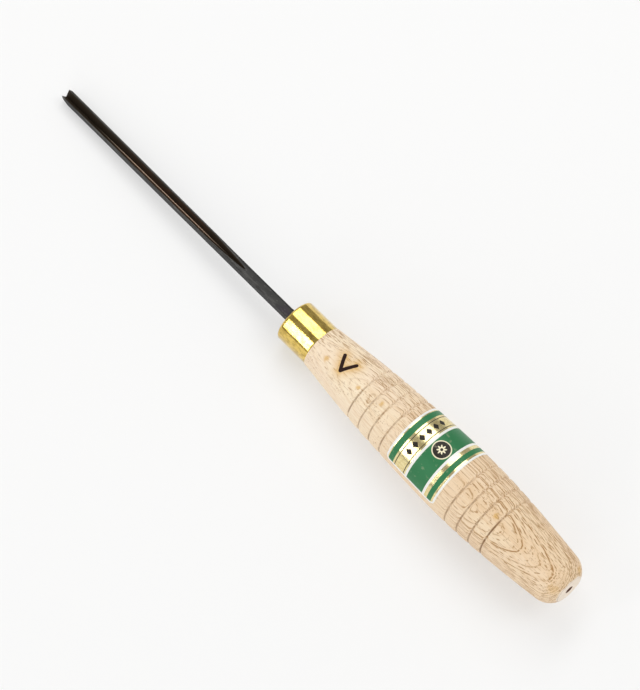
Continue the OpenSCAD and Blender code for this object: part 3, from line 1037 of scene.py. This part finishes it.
def make_blade(scale_finish, ground_finish):
    bm = bmesh.new()
    layers = {name: bm.verts.layers.float.new(name) for name in ("groove", "edge", "valley", "scale_and_shade")}
    rows = []
    for x, tang in blade_stations():
        corners = blade_corners(x, tang)
        points, tags, shares = rounded(corners, CORNER_STEPS)
        worn = float(smoothstep(groove_x + WEAR_FROM, groove_x + WEAR_FULL, x))
        near_tip = float(smoothstep(tip_x - NEAR_TIP_FROM, tip_x - NEAR_TIP_FULL, x))
        row = []
        for p, (kind, i), share in zip(points, tags, shares):
            place = Vector((x * FORGE_ALONG, p.x * FORGE_ACROSS, p.y * FORGE_ACROSS))
            wave = 1 - FORGE_WAVE * (0.5 + 0.5 * noise.noise(place)) / max(p.length, FORGE_LEAST_R)
            vert = bm.verts.new((x, p.x * wave, p.y * wave))
            in_groove = (kind, i) in (("edge", FAR_LIP), ("edge", VALLEY), ("corner", VALLEY))
            vert[layers["groove"]] = float(in_groove and x > groove_x)
            if (kind, i) == ("corner", NEAR_LIP):
                vert[layers["edge"]] = worn
            if (kind, i) == ("corner", FAR_LIP):
                vert[layers["edge"]] = FAR_WEAR * worn
            if (kind, i) == ("corner", NEAR_TOP):
                vert[layers["edge"]] = NEAR_TOP_WEAR * worn
            if (kind, i) == ("edge", FAR_TOP):
                vert[layers["edge"]] = FAR_WEAR * worn * float(smoothstep(*FAR_WEAR_SHARES, share))
            # The sides, the underside, the far top corner and the far land beside it are painted
            # near-black as painted shade
            darkened = NEAR_TOP < i < FAR_TOP or (kind, i) in SCALE_AND_SHADE_EDGES
            vert[layers["scale_and_shade"]] = float(darkened or (kind, i) == ("edge", FAR_TOP) and share < FAR_LAND_DARK)
            # Towards the tip the inner half of the near land is more worn, and its outer half is painted
            # near-black
            if (kind, i) == ("edge", NEAR_LIP):
                if share < LIP_SHARE:
                    vert[layers["edge"]] = worn * (LIP_WEAR_BACK + (1 - LIP_WEAR_BACK) * near_tip)
                else:
                    vert[layers["scale_and_shade"]] = near_tip
            # The bottom of the V carries the painted glint
            vert[layers["valley"]] = float((kind, i) == ("corner", VALLEY) and x > groove_x)
            row.append(vert)
        rows.append(row)
    for a, b in zip(rows, rows[1:]):
        bridge(bm, a, b)
    bm.faces.new(rows[0])
    bm.faces.new(rows[-1])
    grind_bevels(bm)
    add_piece("forged_blade", bm, [scale_finish, ground_finish], "blade")


def grind_bevels(bm):
    """Cut the outside of each wing down to the cutting edge, and give the cuts the ground finish."""
    apex = Vector((tip_x, 0, SHANK_HALF_H - GROOVE_TIP_HALF_W / math.tan(HALF_V)))
    for side in (1, -1):
        outward = Vector((0, side * math.cos(HALF_V), -math.sin(HALF_V)))
        normal = outward * math.cos(BEVEL_ANGLE) + Vector((1, 0, 0)) * math.sin(BEVEL_ANGLE)
        cut = bmesh.ops.bisect_plane(
            bm,
            geom=[*bm.verts, *bm.edges, *bm.faces],
            plane_co=apex + outward * EDGE_THICKNESS,
            plane_no=normal,
            clear_outer=True,
        )
        rim = [e for e in cut["geom_cut"] if isinstance(e, bmesh.types.BMEdge)]
        filled = bmesh.ops.triangle_fill(bm, edges=rim, use_beauty=True)
        for face in filled["geom"]:
            if isinstance(face, bmesh.types.BMFace):
                face.material_index = 1


# Steps of the label's mesh
LABEL_CORNER_STEPS = 8
LABEL_PLACES = 26
LABEL_COLUMNS = 97


def label_rows():
    """Places along the label, close together at its rounded corners."""
    turns = [math.pi / 2 * i / LABEL_CORNER_STEPS for i in range(LABEL_CORNER_STEPS + 1)]
    corner = [LABEL_CORNER * (1 - math.cos(turn)) for turn in turns]
    middle = list(np.linspace(LABEL_CORNER, label_len - LABEL_CORNER, LABEL_PLACES))[1:-1]
    return corner + middle + [label_len - c for c in reversed(corner)]


def make_label(material):
    bm = bmesh.new()
    names = ("around", "along", "border")
    layers = {name: bm.verts.layers.float.new(name) for name in names}
    sheets = []
    for lift in (LABEL_GLUE, LABEL_GLUE + LABEL_THICKNESS):
        rows = []
        for along in label_rows():
            d = -label_hi.x + along
            r = wood_r(d) + lift
            to_end = min(along, label_len - along)
            inset = 0.0
            if to_end < LABEL_CORNER:
                inset = LABEL_CORNER - math.sqrt(LABEL_CORNER ** 2 - (LABEL_CORNER - to_end) ** 2)
            half = LABEL_HALF_ARC - inset / r
            row = []
            for j in range(LABEL_COLUMNS):
                a = half * (2 * j / (LABEL_COLUMNS - 1) - 1)
                vert = bm.verts.new(on_axis(-d, r, a))
                vert[layers["around"]] = a * r
                vert[layers["along"]] = along - label_len / 2
                vert[layers["border"]] = min(to_end, (half - abs(a)) * r)
                row.append(vert)
            rows.append(row)
        for a, b in zip(rows, rows[1:]):
            bridge(bm, a, b, closed=False)
        sheets.append(rows)
    loops = [
        rows[0] + [row[-1] for row in rows[1:-1]] + rows[-1][::-1] + [row[0] for row in rows[-2:0:-1]]
        for rows in sheets
    ]
    bridge(bm, loops[0], loops[1])
    add_piece("foil_label", bm, [material], "label")


make_handle(beech())
make_ferrule(brass())
make_blade(black_steel(), ground_steel())
make_label(printed_foil())


# Stage: the tool lies on its handle and on the underside of its tip
FLOOR_SIZE = 6000
FLOOR_DROP = 0.02
FLOOR_WHITE = (0.90, 0.90, 0.90)
FLOOR_WARM = (0.91, 0.91, 0.905)
FLOOR_GLOW = 0.44
GLOW_WHITE = (0.96, 0.96, 0.96)
BLACK = (0.0, 0.0, 0.0)
TIP_REST_BACK = 1.2
tip_rest_x = tip_x - TIP_REST_BACK
tip_rest_z = -SHANK_HALF_H
# The floor's slope along the tool is the least that keeps it below the whole handle
floor_slope = max((wood_r(d) + tip_rest_z) / (tip_rest_x + d) for d in handle_places())


def make_floor():
    """Plain pale floor, which slopes along the tool's axis because the tool lies at a slope on it."""
    mesh = bpy.data.meshes.new("floor")
    half = FLOOR_SIZE / 2
    corners = []
    for x, y in ((-half, -half), (half, -half), (half, half), (-half, half)):
        z = tip_rest_z + (x - tip_rest_x) * floor_slope - FLOOR_DROP
        corners.append(Vector((x, y, z)) * MM)
    mesh.from_pydata(corners, [], [(0, 1, 2, 3)])
    floor = bpy.data.objects.new("floor", mesh)
    bpy.context.scene.collection.objects.link(floor)
    f = Finish("floor")
    tint = f.noise(f.stretched(0.004, 0.004), detail=1.0)
    white = f.mix(tint, FLOOR_WHITE, FLOOR_WARM)
    # The floor is seen, also in the metal, as partly lit from within, which lightens the shadow on it
    glow = f.seen() * FLOOR_GLOW
    f.set(Base_Color=f.mix(glow, white, BLACK), Roughness=0.9, Specular_IOR_Level=0.1)
    f.set(Emission_Color=GLOW_WHITE, Emission_Strength=glow)
    mesh.materials.append(f.material)


def add_softbox(name, place, size_x, size_y, radiance):
    """Area light that faces the origin, with its first side along the tool as far as that allows."""
    data = bpy.data.lights.new(name, "AREA")
    data.shape = "RECTANGLE"
    data.size = size_x * MM
    data.size_y = size_y * MM
    data.energy = radiance * math.pi * data.size * data.size_y
    lamp = bpy.data.objects.new(name, data)
    centre = Vector(place)
    away = centre.normalized()
    along = Vector((1, 0, 0))
    along = (along - along.dot(away) * away).normalized()
    axes = Matrix((along, away.cross(along), away)).transposed().to_4x4()
    lamp.matrix_world = Matrix.Translation(centre * MM) @ axes
    lamp.visible_camera = False
    bpy.context.scene.collection.objects.link(lamp)


ROOM_LIGHT = 0.73
ROOM_DARK = 0.37
ROOM_WHITE = (1.0, 1.0, 0.99)
DARK_FROM = 0.12
DARK_TO = 0.48
DARK_FADE = 0.08

# Softboxes: name, place, side along the tool, side across it, and radiance
SOFTBOXES = (
    ("overhead", (325, -387, 920), 330, 906, 3.2),
    ("near_side", (325, 822, 572), 60, 885, 8.5),
    ("key", (-600, -500, 950), 500, 500, 2.5),
    ("fill", (-500, 1050, 260), 500, 500, 2.8),
)


def make_light():
    """A pale room with a dark strip across it, which shows in the ferrule, and four softboxes."""
    world = bpy.data.worlds.new("room")
    bpy.context.scene.world = world
    world.use_nodes = True
    tree = world.node_tree
    place = tree.nodes.new("ShaderNodeTexCoord")
    parts = tree.nodes.new("ShaderNodeSeparateXYZ")
    tree.links.new(place.outputs["Generated"], parts.inputs[0])
    along = Field(tree, parts.outputs[0])
    dark = along.step(DARK_FROM - DARK_FADE, DARK_FROM + DARK_FADE)
    dark = dark * along.step(DARK_TO + DARK_FADE, DARK_TO - DARK_FADE)
    level = dark * (ROOM_DARK - ROOM_LIGHT) + ROOM_LIGHT
    background = tree.nodes["Background"]
    plug(background.inputs["Color"], ROOM_WHITE)
    plug(background.inputs["Strength"], level)
    for softbox in SOFTBOXES:
        add_softbox(*softbox)


def make_camera():
    """Camera that sees the tool as the photograph does."""
    back = Vector((
        -math.sin(VIEW_TILT),
        math.cos(VIEW_TILT) * math.sin(VIEW_SIDE),
        math.cos(VIEW_TILT) * math.cos(VIEW_SIDE),
    ))
    along = Vector((-1, 0, 0))
    along = (along - along.dot(back) * back).normalized()
    across = back.cross(along)
    right = math.cos(VIEW_TURN) * along + math.sin(VIEW_TURN) * across
    up = math.cos(VIEW_TURN) * across - math.sin(VIEW_TURN) * along
    data = bpy.data.cameras.new("camera")
    data.sensor_width = SENSOR_MM
    data.lens = SENSOR_MM * PX_PER_MM * VIEW_DISTANCE / PICTURE_H
    data.clip_start = CLIP_NEAR * MM
    data.clip_end = CLIP_FAR * MM
    camera = bpy.data.objects.new("camera", data)
    axes = Matrix((right, up, back)).transposed().to_4x4()
    camera.matrix_world = Matrix.Translation((VIEW_TARGET + VIEW_DISTANCE * back) * MM) @ axes
    bpy.context.scene.collection.objects.link(camera)
    bpy.context.scene.camera = camera


make_floor()
make_light()
make_camera()
bpy.context.scene.view_settings.view_transform = "Standard"
